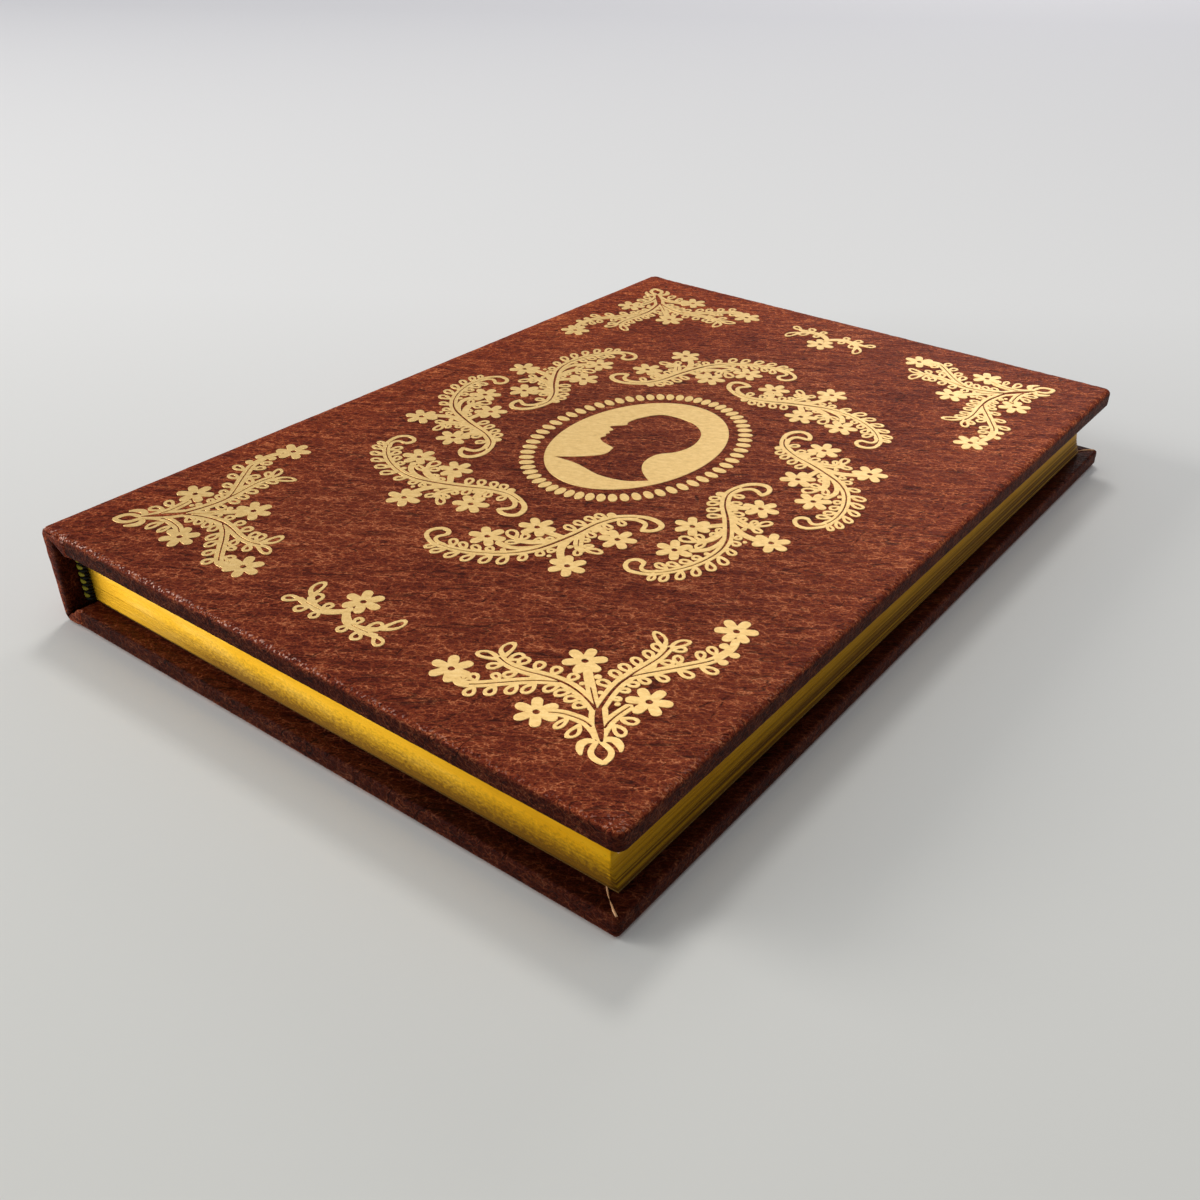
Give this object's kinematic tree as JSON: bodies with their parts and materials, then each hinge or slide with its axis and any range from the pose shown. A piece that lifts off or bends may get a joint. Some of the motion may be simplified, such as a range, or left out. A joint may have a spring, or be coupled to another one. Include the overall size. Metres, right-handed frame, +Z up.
{
  "type": "antique leather book",
  "caption": "Full-leather hardcover book lying on its back cover, with gilt page edges, gold floral tooling on the front and two covers that open.",
  "frame": {"origin": "middle of the bounding box at the resting face of the back cover", "axes": "+X from the spine to the fore-edge, +Y from tail to head, +Z up, out of the front cover"},
  "size_m": [0.159, 0.235, 0.0241],
  "materials": {
    "leather": "satin, wrinkled grain",
    "board": "matte",
    "paper": "matte",
    "gilt_pages": "gilt edges",
    "gold_foil": "satin gold",
    "silk": "wound silk"
  },
  "bodies": {
    "text_block": {"page_block": "gilt_pages", "front_flyleaf": "paper", "back_flyleaf": "paper", "spine_lining": "paper", "head_band": "silk", "tail_band": "silk", "spine_card": "board", "spine_leather": "leather"},
    "front_cover": {"front_board": "board", "front_leather": "leather", "front_pastedown": "paper", "gilt_medallion": "gold_foil", "gilt_bead_ring": "gold_foil", "gilt_head_sprig": "gold_foil", "gilt_tail_sprig": "gold_foil", "gilt_corner_spray_1": "gold_foil", "gilt_corner_spray_2": "gold_foil", "gilt_corner_spray_3": "gold_foil", "gilt_corner_spray_4": "gold_foil", "gilt_wreath_spray_1": "gold_foil", "gilt_wreath_spray_2": "gold_foil", "gilt_wreath_spray_3": "gold_foil", "gilt_wreath_spray_4": "gold_foil", "gilt_wreath_spray_5": "gold_foil", "gilt_wreath_spray_6": "gold_foil", "gilt_wreath_spray_7": "gold_foil", "gilt_wreath_spray_8": "gold_foil"},
    "back_cover": {"back_board": "board", "back_leather": "leather", "back_pastedown": "paper"}
  },
  "joints": [
    {"name": "front_cover_hinge", "type": "hinge", "parent": "text_block", "child": "front_cover", "pos_m": [-0.07415, 0, 0.02415], "axis": [0, -1, 0], "range_deg": [0, 180]},
    {"name": "back_cover_hinge", "type": "hinge", "parent": "text_block", "child": "back_cover", "pos_m": [-0.07415, 0, -0.00015], "axis": [0, 1, 0], "range_deg": [0, 180]}
  ]
}
